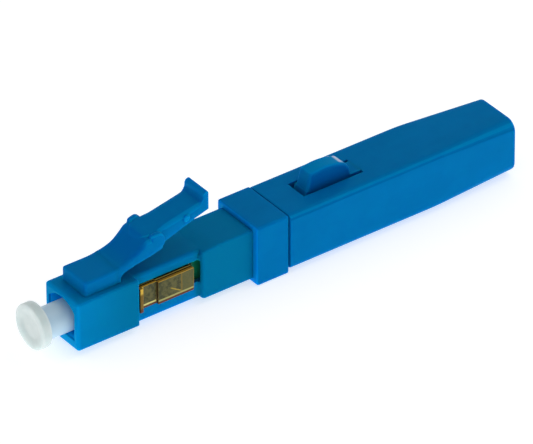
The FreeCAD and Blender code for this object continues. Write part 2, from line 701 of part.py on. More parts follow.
def release_button():
    """Press tab cut free of the sleeve's roof on three sides, with a crowned thumb pad."""
    half = TAB_WIDTH / 2
    tab = span(TAB_X, TAB_ROOT, -half, half, BORE_TOP, SLEEVE_TOP)
    high = SLEEVE_TOP + PAD_HEIGHT
    brow = (TAB_X + PAD_LEAN, high)
    tail = (TAB_ROOT - PAD_SETBACK, BORE_TOP)
    crest = (tail[0] - PAD_HEEL, high - PAD_FALL)
    pad = side_prism(
        TAB_WIDTH,
        (TAB_X, BORE_TOP),
        brow,
        (arc_middle(brow, crest, PAD_CROWN), crest),
        (arc_middle(crest, tail, PAD_HEEL_BULGE), tail),
    )

    def rim(edge):
        crest_line = edge.BoundBox.YLength > half and edge.BoundBox.XMin > crest[0] - 1e-6
        return edge.BoundBox.ZMax > BORE_TOP + 1e-6 and not crest_line

    return round_edges(pad, PAD_EDGE, rim).fuse(tab).removeSplitter()


NODES = {
    "plug_housing": plug_housing,
    "latch_lever": latch_lever,
    "dust_cap": dust_cap,
    "ferrule": ferrule,
    "fibre_stub": fibre_stub,
    "ferrule_flange": ferrule_flange,
    "splice_base": splice_base,
    "clamp_plate": clamp_plate,
    "splice_clip": splice_clip,
    "lock_slider": lock_slider,
    "float_spring": float_spring,
    "rear_body": rear_body,
    "tail_sleeve": tail_sleeve,
    "release_button": release_button,
}

os.makedirs("parts", exist_ok=True)
for name, make in NODES.items():
    make().exportStep(f"parts/{name}.step")
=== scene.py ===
import math

import bmesh
import bpy
from mathutils import Matrix, Vector


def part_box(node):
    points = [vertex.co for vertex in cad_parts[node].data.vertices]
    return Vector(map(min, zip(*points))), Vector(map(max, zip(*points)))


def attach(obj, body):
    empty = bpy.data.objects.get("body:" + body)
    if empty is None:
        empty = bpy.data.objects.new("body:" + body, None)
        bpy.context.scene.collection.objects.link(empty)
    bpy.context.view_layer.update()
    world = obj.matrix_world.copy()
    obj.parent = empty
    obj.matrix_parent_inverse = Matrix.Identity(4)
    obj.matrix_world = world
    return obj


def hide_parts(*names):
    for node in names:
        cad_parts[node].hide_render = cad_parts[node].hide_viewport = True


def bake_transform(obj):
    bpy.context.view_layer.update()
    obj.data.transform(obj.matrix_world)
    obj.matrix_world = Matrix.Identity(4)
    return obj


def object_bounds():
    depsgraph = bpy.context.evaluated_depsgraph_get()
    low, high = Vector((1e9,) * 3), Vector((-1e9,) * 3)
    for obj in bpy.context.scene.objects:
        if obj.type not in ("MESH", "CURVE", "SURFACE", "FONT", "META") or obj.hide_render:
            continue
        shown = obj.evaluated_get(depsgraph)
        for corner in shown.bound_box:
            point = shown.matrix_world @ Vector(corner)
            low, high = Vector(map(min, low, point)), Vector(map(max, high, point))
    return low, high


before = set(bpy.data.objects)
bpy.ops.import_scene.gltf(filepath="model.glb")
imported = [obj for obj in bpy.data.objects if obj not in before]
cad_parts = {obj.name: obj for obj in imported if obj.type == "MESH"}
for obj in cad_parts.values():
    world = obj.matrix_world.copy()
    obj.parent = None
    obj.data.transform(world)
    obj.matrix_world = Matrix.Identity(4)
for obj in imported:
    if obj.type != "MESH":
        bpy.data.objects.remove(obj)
cad_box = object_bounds()

# Ferrule: a ground zirconia rod with a fine bore on its axis and a bevelled, polished tip.
# It is pressed into its flange, and the tip is all of it that shows once the cap is off.
mm = 0.001
round_sides = 96


def placed(name, data):
    """An object of the scene with its data."""
    made = bpy.data.objects.new(name, data)
    bpy.context.scene.collection.objects.link(made)
    return made


def mesh_of(name, bm):
    """A mesh from one in the making, which ends there."""
    mesh = bpy.data.meshes.new(name)
    bm.to_mesh(mesh)
    bm.free()
    return mesh


def solid(name, bm, crease=40):
    """An object from a mesh in the making, shaded smooth up to the crease angle."""
    bmesh.ops.recalc_face_normals(bm, faces=bm.faces)
    for face in bm.faces:
        face.smooth = True
    for edge in bm.edges:
        edge.smooth = edge.calc_face_angle(0) < math.radians(crease)
    piece = placed(name, mesh_of(name, bm))
    weigh = piece.modifiers.new("weigh", "WEIGHTED_NORMAL")
    weigh.keep_sharp = True
    settle(piece)
    return piece


def settle(piece):
    """Apply a piece's modifiers to its mesh."""
    graph = bpy.context.evaluated_depsgraph_get()
    made = bpy.data.meshes.new_from_object(piece.evaluated_get(graph))
    piece.modifiers.clear()
    piece.data = made


def turned(outline, sides, rise=0.0):
    """A mesh turned about the fibre axis, or a line above it, from a closed outline of (x, radius) in mm."""
    bm = bmesh.new()
    rings = []
    for x, radius in outline:
        ring = []
        for step in range(sides):
            turn = 2 * math.pi * step / sides
            y = radius * math.sin(turn)
            z = radius * math.cos(turn) + rise
            ring.append(bm.verts.new((x * mm, y * mm, z * mm)))
        rings.append(ring)
    for here, there in zip(rings, rings[1:] + rings[:1]):
        for step in range(sides):
            after = (step + 1) % sides
            bm.faces.new((here[step], here[after], there[after], there[step]))
    bmesh.ops.remove_doubles(bm, verts=bm.verts, dist=1e-7)
    bmesh.ops.delete(bm, geom=[edge for edge in bm.edges if not edge.link_faces], context="EDGES")
    bmesh.ops.recalc_face_normals(bm, faces=bm.faces)
    return bm


def arc(x, radius, size, start, end, steps=6):
    """Points of an outline on an arc about (x, radius), between two angles in degrees from +x."""
    points = []
    for step in range(steps + 1):
        turn = math.radians(start + (end - start) * step / steps)
        points.append((x + size * math.cos(turn), radius + size * math.sin(turn)))
    return points


def paint(red, green, blue):
    """A colour as a shader takes it, from its display values of 0 to 255."""
    linear = []
    for value in (red / 255, green / 255, blue / 255):
        linear.append(value / 12.92 if value <= 0.04045 else ((value + 0.055) / 1.055) ** 2.4)
    return (*linear, 1.0)


def finish_of(name, **values):
    """A material and its shader, with plain values on the shader's own sockets."""
    material = bpy.data.materials.new(name)
    material.use_nodes = True
    shader = material.node_tree.nodes["Principled BSDF"]
    for socket, value in values.items():
        shader.inputs[socket.replace("_", " ")].default_value = value
    return material, shader


def dress(piece, material):
    """Give a piece its one material."""
    piece.data.materials.clear()
    piece.data.materials.append(material)


def effect(name, inputs):
    """A shader node group that gives a colour, a roughness and a height, and its two end nodes."""
    group = bpy.data.node_groups.new(name, "ShaderNodeTree")
    for label, kind, value in inputs:
        socket = group.interface.new_socket(label, in_out="INPUT", socket_type="NodeSocket" + kind)
        socket.default_value = value
    for label, kind in (("Colour", "Color"), ("Roughness", "Float"), ("Height", "Float")):
        group.interface.new_socket(label, in_out="OUTPUT", socket_type="NodeSocket" + kind)
    return group, group.nodes.new("NodeGroupInput"), group.nodes.new("NodeGroupOutput")


def node(tree, kind, settings=(), **values):
    """A shader node with its settings and the plain values of its sockets."""
    made = tree.nodes.new("ShaderNode" + kind)
    for setting, value in dict(settings).items():
        setattr(made, setting, value)
    for socket, value in values.items():
        made.inputs[socket.replace("_", " ")].default_value = value
    return made


def wire(tree, routes):
    """Link nodes by routes, each of them a node, its output, another node and its input."""
    for source, output, target, socket in routes:
        tree.links.new(source.outputs[output], target.inputs[socket])


def close_effect(group, given, gives, under, mask, fine, limits, amount):
    """Blend a group's two colours by a mask. Its fine texture is its height and varies its roughness."""
    blend = node(group, "Mix", {"data_type": "RGBA"})
    spread = node(
        group, "MapRange", From_Min=limits[0], From_Max=limits[1], To_Min=-amount, To_Max=amount)
    total = node(group, "Math", {"operation": "ADD"})
    group.links.new(mask, blend.inputs["Factor"])
    wire(group, [
        (given, under, blend, "A"), (given, "Colour", blend, "B"), (fine, "Fac", spread, "Value"),
        (spread, "Result", total, 0), (given, "Roughness", total, 1), (blend, "Result", gives, "Colour"),
        (total, "Value", gives, "Roughness"), (fine, "Fac", gives, "Height")])


def surfaced(name, group, depth, finish, **values):
    """A material whose colour, roughness and bump come from a node group. The bump's depth is in metres."""
    material, shader = finish_of(name, **finish)
    tree = material.node_tree
    made = node(tree, "Group", {"node_tree": group}, **values)
    bump = node(tree, "Bump", Strength=1.0, Distance=depth)
    wire(tree, [
        (made, "Colour", shader, "Base Color"), (made, "Roughness", shader, "Roughness"),
        (made, "Height", bump, "Height"), (bump, "Normal", shader, "Normal")])
    return material


# Ground and polished surfaces: fine scratches round the axis and a faint cloud.
ground, given, gives = effect(
    "ground_surface",
    [("Colour", "Color", paint(235, 235, 230)), ("Dull", "Color", paint(215, 215, 210)),
     ("Roughness", "Float", 0.2), ("Scratches", "Float", 9000.0)])
place = node(ground, "TexCoord")
lathe = node(ground, "Mapping", Scale=(1.0, 0.02, 0.02))
scratch = node(ground, "TexNoise", Detail=4.0, Roughness=0.7)
cloud = node(ground, "TexNoise", Scale=1500.0, Detail=3.0)
wire(ground, [
    (place, "Object", lathe, "Vector"), (place, "Object", cloud, "Vector"),
    (lathe, "Vector", scratch, "Vector"), (given, "Scratches", scratch, "Scale")])
close_effect(ground, given, gives, "Dull", cloud.outputs["Fac"], scratch, (0.3, 0.7), 0.06)

ceramic = surfaced(
    "zirconia", ground, depth=2e-7, Roughness=0.16,
    finish={"IOR": 1.9, "Subsurface_Weight": 0.15, "Subsurface_Scale": 0.0002})
low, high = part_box("ferrule")
tip, seat = low.x / mm, high.x / mm
ferrule_radius, fibre_radius, tip_bevel = 0.625, 0.0625, 0.25
tip_hollow, face_radius, face_round, bevel_round = 0.012, 0.2, 0.06, 0.12
ferrule = solid("ferrule_rod", turned(
    [(tip + tip_hollow, fibre_radius), (tip, face_radius), (tip + 0.01, ferrule_radius - tip_bevel - 0.04)]
    + arc(tip + face_round + 0.01, ferrule_radius - tip_bevel - 0.02, face_round, 160, 120, 3)
    + arc(tip + tip_bevel + 0.1, ferrule_radius - bevel_round, bevel_round, 130, 90, 4)
    + [(seat, ferrule_radius), (seat, fibre_radius)], round_sides))
dress(ferrule, ceramic)
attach(ferrule, "ferrule_set")
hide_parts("ferrule")

# Fibre stub: a glass fibre cleaved at one end and polished flush with the ferrule's tip.
# It is glued along the ferrule's bore and ends in the middle of the splice.
glass, shader = finish_of(
    "fibre_glass", IOR=1.46, Transmission_Weight=0.9, Base_Color=paint(236, 244, 246), Coat_Weight=0.3)
speckle = node(glass.node_tree, "TexNoise", Scale=20000.0, Detail=2.0)
spread = node(glass.node_tree, "MapRange", To_Min=0.02, To_Max=0.09)
wire(glass.node_tree, [(speckle, "Fac", spread, "Value"), (spread, "Result", shader, "Roughness")])
low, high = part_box("fibre_stub")
front, end = low.x / mm, high.x / mm
stub_radius = fibre_radius * 0.98
fibre = solid("fibre_stub_glass", turned(
    [(front + 0.004, 0), (front + 0.006, stub_radius), (end - 0.003, stub_radius), (end, 0)], 32))
dress(fibre, glass)
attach(fibre, "ferrule_set")
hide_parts("fibre_stub")

# Flange: a turned steel ring with a nose and two flats on its shoulder.
# The ferrule is pressed into it from in front and the splice's spigot from behind.
steel = surfaced(
    "turned_steel", ground, depth=6e-7, finish={"Metallic": 1.0},
    Colour=paint(196, 194, 190), Dull=paint(176, 174, 170), Roughness=0.28, Scratches=24000.0)
low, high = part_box("ferrule_flange")
nose, back = low.x / mm, high.x / mm
shoulder = seat
flats = high.y
nose_radius, rim_radius, socket_radius, break_edge = 1.0, high.z / mm, 0.73, 0.06
bm = turned(
    [(nose, ferrule_radius + break_edge), (nose, nose_radius - break_edge), (nose + break_edge, nose_radius),
     (shoulder, nose_radius), (shoulder, rim_radius - break_edge), (shoulder + break_edge, rim_radius),
     (back - break_edge, rim_radius), (back, rim_radius - break_edge), (back, socket_radius + break_edge),
     (back - break_edge, socket_radius), (shoulder, socket_radius), (shoulder, ferrule_radius),
     (nose + break_edge, ferrule_radius)], round_sides)
for vert in bm.verts:
    vert.co.y = max(-flats, min(flats, vert.co.y))
flange = solid("flange_ring", bm)
dress(flange, steel)
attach(flange, "ferrule_set")
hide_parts("ferrule_flange")

# Splice base: a green moulded channel with a V-groove, a head at each end and a guide tube.
# Its spigot is pressed into the flange, so that it floats on the spring with the ferrule.


def moulding(part, edge, steps=2, wanted=lambda edge: True):
    """A mesh of a CAD node with its flat faces merged and its sharp edges rounded by so many mm."""
    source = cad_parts[part].data
    bm = bmesh.new()
    verts = [bm.verts.new(vert.co) for vert in source.vertices]
    for face in source.polygons:
        bm.faces.new([verts[index] for index in face.vertices])
    bmesh.ops.remove_doubles(bm, verts=bm.verts, dist=2e-7)
    merge_flats(bm)
    if edge:
        soften(bm, edge, steps, wanted)
    return bm


def merge_flats(bm):
    """Merge the facets of each flat face."""
    bmesh.ops.dissolve_limit(
        bm, angle_limit=math.radians(0.5), verts=bm.verts, edges=bm.edges, use_dissolve_boundaries=False)


def soften(bm, edge, steps=2, wanted=lambda edge: True, sharp=40):
    """Round the sharp edges that the test picks."""
    chosen = [e for e in bm.edges if e.calc_face_angle(0) > math.radians(sharp) and wanted(e)]
    bmesh.ops.bevel(
        bm, geom=chosen, offset=edge * mm, offset_type="OFFSET", segments=steps, profile=0.5,
        affect="EDGES", clamp_overlap=False, loop_slide=True)
    bmesh.ops.remove_doubles(bm, verts=bm.verts, dist=2e-7)


# Moulded surfaces: slow clouds and flow lines in the colour, a fine grain from the tool.
moulded, given, gives = effect(
    "moulded_surface",
    [("Colour", "Color", paint(0, 110, 175)), ("Deep", "Color", paint(0, 95, 160)),
     ("Roughness", "Float", 0.35), ("Clouds", "Float", 500.0), ("Grain", "Float", 9000.0)])
place = node(moulded, "TexCoord")
flow = node(moulded, "Mapping", Scale=(0.18, 1.0, 1.0))
cloud = node(moulded, "TexNoise", Detail=4.0, Roughness=0.6, Distortion=0.4)
streak = node(moulded, "TexNoise", Detail=3.0, Roughness=0.5, Distortion=0.2)
grain = node(moulded, "TexNoise", Detail=3.0, Roughness=0.6)
both = node(moulded, "Math", {"operation": "ADD"})
mask = node(moulded, "MapRange", From_Min=0.75, From_Max=1.25)
wire(moulded, [
    (place, "Object", cloud, "Vector"), (place, "Object", flow, "Vector"), (place, "Object", grain, "Vector"),
    (flow, "Vector", streak, "Vector"), (given, "Clouds", cloud, "Scale"), (given, "Clouds", streak, "Scale"),
    (given, "Grain", grain, "Scale"), (cloud, "Fac", both, 0), (streak, "Fac", both, 1),
    (both, "Value", mask, "Value")])
close_effect(moulded, given, gives, "Deep", mask.outputs["Result"], grain, (0.25, 0.75), 0.07)

green = surfaced(
    "green_plastic", moulded, depth=1e-6, finish={"IOR": 1.5},
    Colour=paint(0, 128, 90), Deep=paint(0, 102, 73), Roughness=0.35)
splice = solid("splice_channel", moulding("splice_base", 0.03))
dress(splice, green)
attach(splice, "ferrule_set")
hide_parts("splice_base")

# Clamp plate: a pale moulded plate that lies in the channel and presses on the two fibres.
# A thin place across its middle lets its two lengths press on their own.
pale = surfaced(
    "plate_plastic", moulded, depth=1e-6, finish={"IOR": 1.5},
    Colour=paint(206, 206, 190), Deep=paint(190, 190, 172), Roughness=0.4)
plate = solid("splice_plate", moulding("clamp_plate", 0.03))
dress(plate, pale)
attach(plate, "ferrule_set")
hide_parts("clamp_plate")

# Splice clip: a strip of spring steel bent round the channel, with its ends hooked over the slider.
# It is sprung on from behind and closes the splice.
sprung = surfaced(
    "spring_steel", ground, depth=5e-7, finish={"Metallic": 1.0},
    Colour=paint(170, 172, 175), Dull=paint(148, 150, 154), Roughness=0.3, Scratches=12000.0)
clip = solid("splice_strip", moulding("splice_clip", 0.015))
dress(clip, sprung)
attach(clip, "ferrule_set")
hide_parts("splice_clip")

# Lock slider: a clear amber moulding that lies over the plate and shows in the window.
# Pushing its raised pad back along the channel locks the splice.
amber, shader = finish_of(
    "amber_clear", IOR=1.5, Transmission_Weight=0.2, Roughness=0.16, Specular_IOR_Level=0.2)
tree = amber.node_tree


def masked(tree, value, start, end):
    """A mask that rises from 0 to 1 while a value goes from a start to an end."""
    made = node(tree, "MapRange", {"interpolation_type": "SMOOTHSTEP"}, From_Min=start, From_Max=end)
    tree.links.new(value, made.inputs["Value"])
    return made.outputs["Result"]


def layered(tree, mask, under, over):
    """A colour laid over another one by a mask. Each colour is a value or another node's output."""
    made = node(tree, "Mix", {"data_type": "RGBA"})
    tree.links.new(mask, made.inputs["Factor"])
    for socket, colour in ((made.inputs["A"], under), (made.inputs["B"], over)):
        if isinstance(colour, tuple):
            socket.default_value = colour
        else:
            tree.links.new(colour, socket)
    return made.outputs["Result"]


def maths(tree, operation, first, second):
    """The result of a sum of two values, each a number or another node's output."""
    made = node(tree, "Math", {"operation": operation})
    for socket, value in zip(made.inputs, (first, second)):
        if isinstance(value, (int, float)):
            socket.default_value = value
        else:
            tree.links.new(value, socket)
    return made.outputs["Value"]


def banded(tree, value, middle, width):
    """A mask for the values within a width of a middle, both in mm."""
    away = maths(tree, "ABSOLUTE", maths(tree, "SUBTRACT", value, middle * mm), 0)
    return masked(tree, away, width * 0.6 * mm, width * 0.4 * mm)


def all_of(tree, *masks):
    """A mask that is full only where all of these are."""
    whole = masks[0]
    for mask in masks[1:]:
        whole = maths(tree, "MULTIPLY", whole, mask)
    return whole


# Painted light: painted highlights along its edges, in its top, in a glint and at its sill, and painted shade
# under it, on its faces toward the nose and inside its top. The splice behind is painted in as clouds on its
# face.
place = node(tree, "TexCoord")
at = node(tree, "SeparateXYZ")
facing = node(tree, "SeparateXYZ")
clouds = node(tree, "TexNoise", Scale=2600.0, Detail=5.0, Roughness=0.65, Distortion=0.6)
ripple = node(tree, "TexNoise", Scale=7000.0, Detail=3.0)
bump = node(tree, "Bump", Strength=1.0, Distance=1.5e-6)
wire(tree, [
    (place, "Object", at, "Vector"), (place, "Normal", facing, "Vector"),
    (place, "Object", clouds, "Vector"), (place, "Object", ripple, "Vector"),
    (ripple, "Fac", bump, "Height"), (bump, "Normal", shader, "Normal")])
along, aside, up = [at.outputs[axis] for axis in "XYZ"]
tailward, sideward, upward = [facing.outputs[axis] for axis in "XYZ"]
lean = [maths(tree, "ABSOLUTE", part, 0) for part in (tailward, sideward, upward)]
flat = maths(tree, "MAXIMUM", maths(tree, "MAXIMUM", lean[0], lean[1]), lean[2])
post_end, pad_start, pad_step, seam_x, sill = 6.7, 8.0, 0.16, 10.44, -0.74
ray_slope, ray_height, ray_middle = 0.627, 5.92, 9.85
# Its top faces are painted lighter gold, a painted light.
crown = masked(tree, upward, 0.6, 0.9)
front = masked(tree, sideward, -0.8, -0.95)
on_pad = masked(tree, along, pad_start * mm, (pad_start + 0.1) * mm)
past_post = masked(tree, along, post_end * mm, (post_end + 0.1) * mm)
past_seam = masked(tree, along, seam_x * mm, (seam_x + 0.06) * mm)
ray = maths(tree, "ADD", up, maths(tree, "MULTIPLY", along, ray_slope))
glint = all_of(tree, banded(tree, ray, ray_height, 0.12), banded(tree, along, ray_middle, 1.0))
dimmer_on_pad = maths(tree, "SUBTRACT", 1.0, maths(tree, "MULTIPLY", on_pad, 0.5))
shine = all_of(tree, dimmer_on_pad, past_post, front, banded(tree, up, sill, 0.16))
inward = maths(tree, "ADD", aside, maths(tree, "MULTIPLY", on_pad, pad_step * mm))
# A painted shadow inside its top, under the window's edge, and a painted highlight line beside it.
shadowed_inner_crown = all_of(tree, crown, masked(tree, inward, -1.74 * mm, -1.66 * mm))
inner_highlight_line = all_of(tree, crown, banded(tree, inward, -1.5, 0.12))
# A painted highlight on its rounded edges on the window side.
rim = all_of(
    tree, masked(tree, flat, 0.985, 0.94), masked(tree, up, -0.8 * mm, -0.7 * mm),
    masked(tree, tailward, -0.4, -0.2), masked(tree, inward, -1.7 * mm, -1.8 * mm))
# The post's front is painted gold, with a painted highlight along its top.
post = maths(tree, "SUBTRACT", masked(tree, up, -0.9 * mm, -0.7 * mm), past_post)
post_highlight = all_of(
    tree, masked(tree, up, 0.45 * mm, 0.75 * mm), maths(tree, "SUBTRACT", 1.0, past_post), front)
colour = layered(tree, past_seam, paint(58, 62, 27), paint(84, 88, 44))
# Below, the brown under it and the dark on its faces toward the nose are painted shade.
for mask, over in (
        (masked(tree, clouds.outputs["Fac"], 0.36, 0.62), paint(98, 95, 48)),
        (banded(tree, along, seam_x, 0.1), paint(130, 106, 30)),
        (glint, paint(176, 150, 50)),
        (shine, paint(222, 216, 130)),
        (masked(tree, up, -0.82 * mm, -0.86 * mm), paint(96, 52, 28)),
        (masked(tree, tailward, -0.5, -0.8), paint(62, 46, 6)),
        (crown, paint(168, 124, 24)),
        (shadowed_inner_crown, paint(52, 42, 12)),
        (inner_highlight_line, paint(196, 176, 92)),
        (rim, paint(206, 158, 36)),
        (all_of(tree, post, front), paint(126, 96, 10)),
        (post_highlight, paint(226, 186, 64))):
    colour = layered(tree, mask, colour, over)
tree.links.new(colour, shader.inputs["Base Color"])


def carve(bm, steps):
    """Add meshes to a mesh, or cut them out of it, one after the other."""
    forms = [bm] + [form for _, form in steps]
    objects = [placed("form", mesh_of("form", form)) for form in forms]
    for (operation, _), form in zip(steps, objects[1:]):
        step = objects[0].modifiers.new(operation, "BOOLEAN")
        step.operation = operation
        step.solver = "EXACT"
        step.object = form
    settle(objects[0])
    bm = bmesh.new()
    bm.from_mesh(objects[0].data)
    for form in objects:
        bpy.data.objects.remove(form)
    bmesh.ops.remove_doubles(bm, verts=bm.verts, dist=1e-6)
    bmesh.ops.dissolve_degenerate(bm, edges=bm.edges, dist=1e-6)
    return bm


# The groove over the plate's thin place doesn't show from outside, so it is filled.
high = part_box("lock_slider")[1]
groove_start, groove_end, groove_floor, slider_top, fill_margin = 10.250, 10.410, -1.860, 1.140, 0.1
slider_edge, foot_top, foot_lift = 0.06, -1.2, 0.2
spans = [
    (groove_start - fill_margin, groove_end + fill_margin), (groove_floor - slider_edge, high.y / mm),
    (sill, slider_top)]
fill = bmesh.new()
bmesh.ops.create_cube(
    fill, size=mm, matrix=Matrix.Translation(Vector([sum(span) / 2 for span in spans]) * mm)
    @ Matrix.Diagonal([end - start for start, end in spans] + [1]))
bm = carve(moulding("lock_slider", 0), [("UNION", fill)])
merge_flats(bm)
soften(bm, slider_edge, 3)
for vert in bm.verts:
    if vert.co.z < foot_top * mm:
        vert.co.z += foot_lift * mm
slider = solid("amber_slider", bm)
dress(slider, amber)
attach(slider, "slider")
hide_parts("lock_slider")

# Float spring: a coil of round spring wire with closed ends.
# It sits on the guide tube between the splice and its seat in the rear body, and gives with the ferrule.
low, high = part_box("float_spring")
wire_radius, coil_radius, turns, points_per_turn, closing = 0.13 * mm, 1.0 * mm, 4.5, 40, 0.11
front, end = low.x + wire_radius, high.x - wire_radius
curve = bpy.data.curves.new("spring_line", "CURVE")
curve.dimensions = "3D"
curve.bevel_depth = wire_radius
curve.bevel_resolution = 4
curve.use_fill_caps = True
line = curve.splines.new("POLY")
count = int(turns * points_per_turn) + 1
line.points.add(count - 1)
for index, point in enumerate(line.points):
    share = index / (count - 1)
    turn = 2 * math.pi * turns * share
    # The first and last turns lie flatter than the ones between.
    lean = share - closing * math.sin(2 * math.pi * share)
    point.co = (front + (end - front) * lean, coil_radius * math.sin(turn), coil_radius * math.cos(turn), 1)
line.use_smooth = True
spring = placed("spring_coil", curve)
mesh = bpy.data.meshes.new_from_object(spring.evaluated_get(bpy.context.evaluated_depsgraph_get()))
bpy.data.objects.remove(spring)
spring = placed("spring_coil", mesh)
dress(spring, sprung)
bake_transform(spring)
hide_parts("float_spring")

# Plug housing: the blue moulded body with its arched mouth, waisted window bay and latch root.
# The ferrule and splice go in from behind, and the rear body's spigot closes it.
plastic = {
    "IOR": 1.5, "Specular_IOR_Level": 0.007, "Specular_Tint": (0.0, 36.0, 46.0, 1.0),
    "Subsurface_Weight": 0.8, "Subsurface_Radius": (0.1, 0.6, 1.0), "Subsurface_Scale": 0.001}


def tint(material, tints):
    """Lay tints over a material's colour. Each is a colour and the limits that all hold where it shows.

    A limit is a measure, with its values where the tint starts and where it is full. X, Y and Z are places
    in mm, and facing X, facing Y and facing Z say which way the surface faces.
    """
    tree = material.node_tree
    base = tree.nodes["Principled BSDF"].inputs["Base Color"]
    colour = base.links[0].from_socket
    place = node(tree, "TexCoord")
    measures = {}
    for source, prefix, unit in (("Object", "", mm), ("Normal", "facing ", 1)):
        parts = node(tree, "SeparateXYZ")
        wire(tree, [(place, source, parts, "Vector")])
        for axis in "XYZ":
            measures[prefix + axis] = parts.outputs[axis], unit
    for over, limits in tints:
        masks = []
        for measure, start, full in limits:
            value, unit = measures[measure]
            masks.append(masked(tree, value, start * unit, full * unit))
        colour = layered(tree, all_of(tree, *masks), colour, over)
    tree.links.new(colour, base)


def blue_plastic(name, tints, colour=paint(0, 105, 169), deep=paint(0, 100, 163)):
    """A blue material with its own tints."""
    material = surfaced(name, moulded, 1.2e-6, plastic, Colour=colour, Deep=deep, Roughness=0.36)
    tint(material, tints)
    return material


# The housing is painted paler at its nose and in its mouth, a painted light for the light that comes through
# the thin walls.
# The tints are painted shade on the bay and the latch's root, and painted light on the nose's rim, over and
# under the window, and in the mouth.
pale_blue = blue_plastic("blue_housing", [
    (paint(0, 104, 150), [("X", 0.0, 6.0)]),
    (paint(0, 102, 166), [("Z", 2.3, 2.7)]),
    (paint(0, 130, 190), [("X", 0.3, -0.1)]),
    (paint(0, 108, 164), [("X", 6.1, 7.2), ("X", 12.4, 11.8), ("Y", -1.2, -1.5), ("Z", 1.2, 1.4)]),
    (paint(0, 111, 174), [("X", 6.1, 6.3), ("X", 12.4, 11.8), ("Z", -0.6, -1.0)]),
    (paint(0, 196, 255), [
        ("X", -0.05, 0.15), ("X", 4.3, 3.8), ("Y", 1.83, 1.79), ("Y", -1.83, -1.79), ("Z", 2.03, 1.99),
        ("Z", -1.53, -1.49)]),
], paint(0, 119, 177), paint(0, 114, 171))
sharpest = 0.02


def ring(x, half, floor, roof, radius, low_radius=None, steps=6):
    """Points round a rectangle with round corners, across the fibre axis at x, all in mm."""
    points = []
    for side, rise, start in ((1, -1, -90), (1, 1, 0), (-1, 1, 90), (-1, -1, 180)):
        size = low_radius if low_radius and rise < 0 else radius
        middle = floor + size if rise < 0 else roof - size
        for y, z in arc(0, 0, size, start, start + 90, steps):
            points.append((x, side * (half - size) + y, middle + z))
    return points


def lofted(rings):
    """A closed mesh over rings that have the same number of points."""
    bm = bmesh.new()
    rows = [[bm.verts.new(Vector(point) * mm) for point in points] for points in rings]
    for here, there in zip(rows, rows[1:]):
        for index in range(len(here)):
            bm.faces.new((here[index - 1], here[index], there[index], there[index - 1]))
    bm.faces.new(rows[0])
    bm.faces.new(rows[-1])
    bmesh.ops.remove_doubles(bm, verts=bm.verts, dist=2e-7)
    bmesh.ops.recalc_face_normals(bm, faces=bm.faces)
    return bm


def block(start, end, half, floor, roof, radius, front_rim=0.0, back_rim=0.0, steps=5):
    """A block along the fibre axis with rounded long edges, and rims rounded by their own radii."""
    stations = []
    for x, rim, order in ((start, front_rim, range(steps + 1)), (end, -back_rim, range(steps, -1, -1))):
        for step in order if rim else [steps]:
            turn = math.radians(90 * step / steps)
            stations.append((x + rim * (1 - math.cos(turn)), abs(rim) * (1 - math.sin(turn))))
    rings = []
    for x, inset in stations:
        rings.append(ring(x, half - inset, floor + inset, roof - inset, max(radius - inset, sharpest)))
    return lofted(rings)


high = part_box("plug_housing")[1]
plug_half, rear_end, latch_top = high.y / mm, high.x / mm, high.z / mm + 0.12
nose_front, nose_half, nose_floor, nose_raise, nose_back_edge = -0.15, 2.29, -2.32, 0.02, 0.08
bay_floor, bay_low_edge, bay_reach = -2.33, 0.12, (3, 15)
plug_edge, front_edge, bay_start, bay_end, bay_half, bay_edge = 0.22, 0.28, 6.05, 12.5, 1.68, 0.34
rear_half, rear_rise, rear_edge, rise_start, rise_run = 2.18, 2.4, 0.15, 0.1, 1.6
root_front, split, root_half, root_foot, latch_edge = 1.14, 4.65, 1.67, 1.9, 0.22
ramp_start, ramp_radius, cut_clear = 3.4, 5.4, 0.05
mouth_half, mouth_floor, mouth_shoulder, mouth_roof, mouth_end, mouth_lip = 1.77, -1.47, 1.2, 1.97, 3.9, 0.08
window_end, window_back, window_top, window_floor, window_corner = 12.7, 13.44, 1.38, -0.8, 0.45
window_depth, window_bed = 1.85, 0.82
bulkhead_start, bulkhead_end, flange_bore = 3.5, 5.1, 1.08
cavity_start, cavity_end, cavity_half, cavity_rise, cavity_edge = 4.5, 15.5, 1.25, 1.65, 0.05
socket_start, socket_end, socket_half = 14.9, 18, 1.55


def ramp(x):
    """Height of the top of the latch's root, which is level and then rises on an arc."""
    along = min(max(0.0, x - ramp_start), ramp_radius)
    return latch_top + ramp_radius - math.sqrt(ramp_radius ** 2 - along ** 2)


def window_outline(y, end):
    """Points round the window at one depth. Its upper rear corner is round."""
    corner = arc(end - window_corner, window_top - window_corner, window_corner, 90, 0)
    outline = [(bay_start, window_floor), (bay_start, window_top)] + corner + [(end, window_floor)]
    return [(x, y, z) for x, z in outline]


mouth_rings = []
for step in range(-1, 7):
    turn = math.radians(15 * step)
    x = nose_front + (-cut_clear if step < 0 else mouth_lip * (1 - math.cos(turn)))
    flare = mouth_lip * (1 - math.sin(max(turn, 0)))
    reach, rise = mouth_half + flare, mouth_roof + flare - mouth_shoulder
    bow = (reach ** 2 + rise ** 2) / (2 * rise)
    spread = math.degrees(math.asin(reach / bow))
    outline = [(-reach, mouth_floor - flare), (reach, mouth_floor - flare)]
    outline += arc(0, mouth_shoulder + rise - bow, bow, 90 - spread, 90 + spread, 24)
    mouth_rings.append([(x, y, z) for y, z in outline])
mouth_rings.append([(mouth_end, y, z) for _, y, z in mouth_rings[-1]])
root_rings = []
for step in range(6):
    turn = math.radians(18 * step)
    inset = latch_edge * (1 - math.sin(turn))
    root_rings.append(ring(
        root_front + latch_edge * (1 - math.cos(turn)), root_half - inset, root_foot, latch_top - inset,
        max(latch_edge - inset, sharpest)))
for step in range(9):
    x = ramp_start + (split - ramp_start) * step / 8
    root_rings.append(ring(x, root_half, root_foot, ramp(x), latch_edge))
